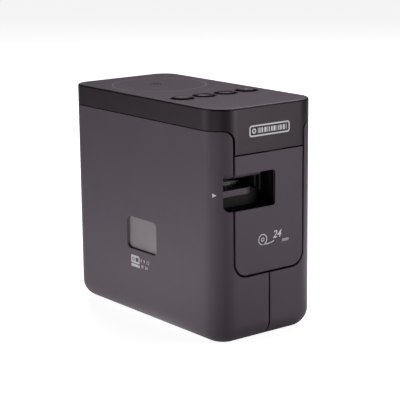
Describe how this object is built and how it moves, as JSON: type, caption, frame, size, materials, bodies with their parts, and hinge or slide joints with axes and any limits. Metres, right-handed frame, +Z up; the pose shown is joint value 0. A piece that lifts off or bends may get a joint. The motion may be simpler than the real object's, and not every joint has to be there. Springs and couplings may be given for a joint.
{
  "type": "label maker",
  "caption": "Upright desktop label maker that prints, cuts and feeds out adhesive tape, with a side cover over its tape cassette.",
  "frame": {"origin": "centre of the footprint, on the surface the machine stands on", "axes": "+Z up; the label comes out of the front, which faces -Y; the tape compartment cover is on the left side, at -X"},
  "size_m": [0.078, 0.152, 0.1439],
  "materials": {
    "casing_plastic": "fine even texture, satin dark grey",
    "dark_plastic": "smooth satin black",
    "frame_plastic": "plain moulded, satin",
    "pale_plastic": "moulded, slightly glossy",
    "gear_plastic": "natural acetal",
    "clear_pane": "clear moulded plastic",
    "rubber": "matt black",
    "steel": "plated sheet and turned steel",
    "aluminium": "as extruded",
    "ceramic": "glazed ceramic",
    "circuit_board": "solder mask",
    "tape": "laminated film",
    "ribbon": "glossy black film",
    "cell_jacket": "printed metal jacket"
  },
  "bodies": {
    "base": {"right_housing": "casing_plastic", "top_cover": "casing_plastic", "front_panel": "casing_plastic", "hinge_pin": "steel", "foot_1": "rubber", "foot_2": "rubber", "foot_3": "rubber", "foot_4": "rubber", "button_board": "circuit_board", "antenna_board": "circuit_board", "main_board": "circuit_board", "chassis": "frame_plastic", "roller_holder": "frame_plastic", "battery_tray": "frame_plastic", "exit_guide": "dark_plastic", "cassette_case": "pale_plastic", "cassette_lid": "pale_plastic", "label_tape": "tape", "print_head": "ceramic", "head_heat_sink": "aluminium", "motor_bracket": "steel", "feed_motor": "steel", "cutter_frame": "steel", "fixed_blade": "steel", "cutter_motor": "steel", "usb_socket": "steel", "dc_jack": "dark_plastic", "case_screw_1": "steel", "case_screw_2": "steel", "case_screw_3": "steel", "top_screw_1": "steel", "top_screw_2": "steel", "battery_1": "cell_jacket", "battery_2": "cell_jacket", "battery_3": "cell_jacket", "battery_4": "cell_jacket", "battery_5": "cell_jacket", "battery_6": "cell_jacket"},
    "tape_cover": {"left_cover": "casing_plastic", "cassette_window": "clear_pane"},
    "battery_door": {"battery_cover": "casing_plastic"},
    "power_key": {"power_button": "casing_plastic"},
    "wireless_key": {"wireless_button": "casing_plastic"},
    "pairing_key": {"pairing_button": "casing_plastic"},
    "feed_cut_key": {"feed_cut_button": "casing_plastic"},
    "tape_spool": {"tape_roll": "tape"},
    "platen": {"platen_shaft": "steel", "platen_roller": "rubber", "platen_gear": "gear_plastic"},
    "idler": {"idler_gear": "gear_plastic"},
    "motor_drive": {"motor_pinion": "gear_plastic"},
    "ribbon_idler": {"ribbon_idler_gear": "gear_plastic"},
    "ribbon_drive": {"ribbon_drive_gear": "gear_plastic", "ribbon_take_up_spool": "ribbon"},
    "ribbon_supply": {"ribbon_supply_spool": "ribbon"},
    "cutter": {"cutter_lever": "steel", "moving_blade": "steel"},
    "cutter_drive": {"cutter_pinion": "gear_plastic"}
  },
  "joints": [
    {"name": "tape_cover_hinge", "type": "hinge", "parent": "base", "child": "tape_cover", "pos_m": [-0.0228, 0.0736, 0.0717], "axis": [0, 0, -1], "range_deg": [0, 90]},
    {"name": "battery_cover_slide", "type": "slide", "parent": "base", "child": "battery_door", "axis": [0, 1, 0], "range_m": [0, 0.13]},
    {"name": "power_press", "type": "slide", "parent": "base", "child": "power_key", "axis": [0, 0, -1], "range_m": [0, 0.001], "stiffness_N_per_m": 800},
    {"name": "wireless_press", "type": "slide", "parent": "base", "child": "wireless_key", "axis": [0, 0, -1], "range_m": [0, 0.001], "stiffness_N_per_m": 800},
    {"name": "pairing_press", "type": "slide", "parent": "base", "child": "pairing_key", "axis": [0, 0, -1], "range_m": [0, 0.001], "stiffness_N_per_m": 800},
    {"name": "feed_cut_press", "type": "slide", "parent": "base", "child": "feed_cut_key", "axis": [0, 0, -1], "range_m": [0, 0.001], "stiffness_N_per_m": 800},
    {"name": "tape_roll_spin", "type": "hinge", "parent": "base", "child": "tape_spool", "pos_m": [0, 0.017, 0.076], "axis": [1, 0, 0], "continuous": true},
    {"name": "platen_spin", "type": "hinge", "parent": "base", "child": "platen", "pos_m": [0, -0.033, 0.10145], "axis": [1, 0, 0], "continuous": true},
    {"name": "idler_spin", "type": "hinge", "parent": "base", "child": "idler", "pos_m": [0, -0.021, 0.08545], "axis": [1, 0, 0], "continuous": true},
    {"name": "motor_spin", "type": "hinge", "parent": "base", "child": "motor_drive", "pos_m": [0, -0.00756, 0.09553], "axis": [1, 0, 0], "continuous": true},
    {"name": "ribbon_idler_spin", "type": "hinge", "parent": "base", "child": "ribbon_idler", "pos_m": [0, -0.013, 0.06625], "axis": [1, 0, 0], "continuous": true},
    {"name": "ribbon_drive_spin", "type": "hinge", "parent": "base", "child": "ribbon_drive", "pos_m": [0, -0.013, 0.04945], "axis": [1, 0, 0], "continuous": true},
    {"name": "ribbon_supply_spin", "type": "hinge", "parent": "base", "child": "ribbon_supply", "pos_m": [0, 0.02, 0.045], "axis": [1, 0, 0], "continuous": true},
    {"name": "cutter_swing", "type": "hinge", "parent": "base", "child": "cutter", "pos_m": [0.002, -0.05955, 0.098], "axis": [0, -1, 0], "range_deg": [0, 14]},
    {"name": "cutter_pinion_spin", "type": "hinge", "parent": "base", "child": "cutter_drive", "pos_m": [0.02013, -0.05955, 0.08955], "axis": [0, -1, 0], "range_deg": [-56.5, 0.5]}
  ],
  "couplings": [
    {"joint": "platen_spin", "follows": "tape_roll_spin", "ratio": -4.0741},
    {"joint": "idler_spin", "follows": "tape_roll_spin", "ratio": 2.7161},
    {"joint": "motor_spin", "follows": "tape_roll_spin", "ratio": -6.7901},
    {"joint": "ribbon_idler_spin", "follows": "tape_roll_spin", "ratio": -3.7037},
    {"joint": "ribbon_drive_spin", "follows": "tape_roll_spin", "ratio": 4.0741},
    {"joint": "ribbon_supply_spin", "follows": "tape_roll_spin", "ratio": 2.9333},
    {"joint": "cutter_pinion_spin", "follows": "cutter_swing", "ratio": -4}
  ]
}
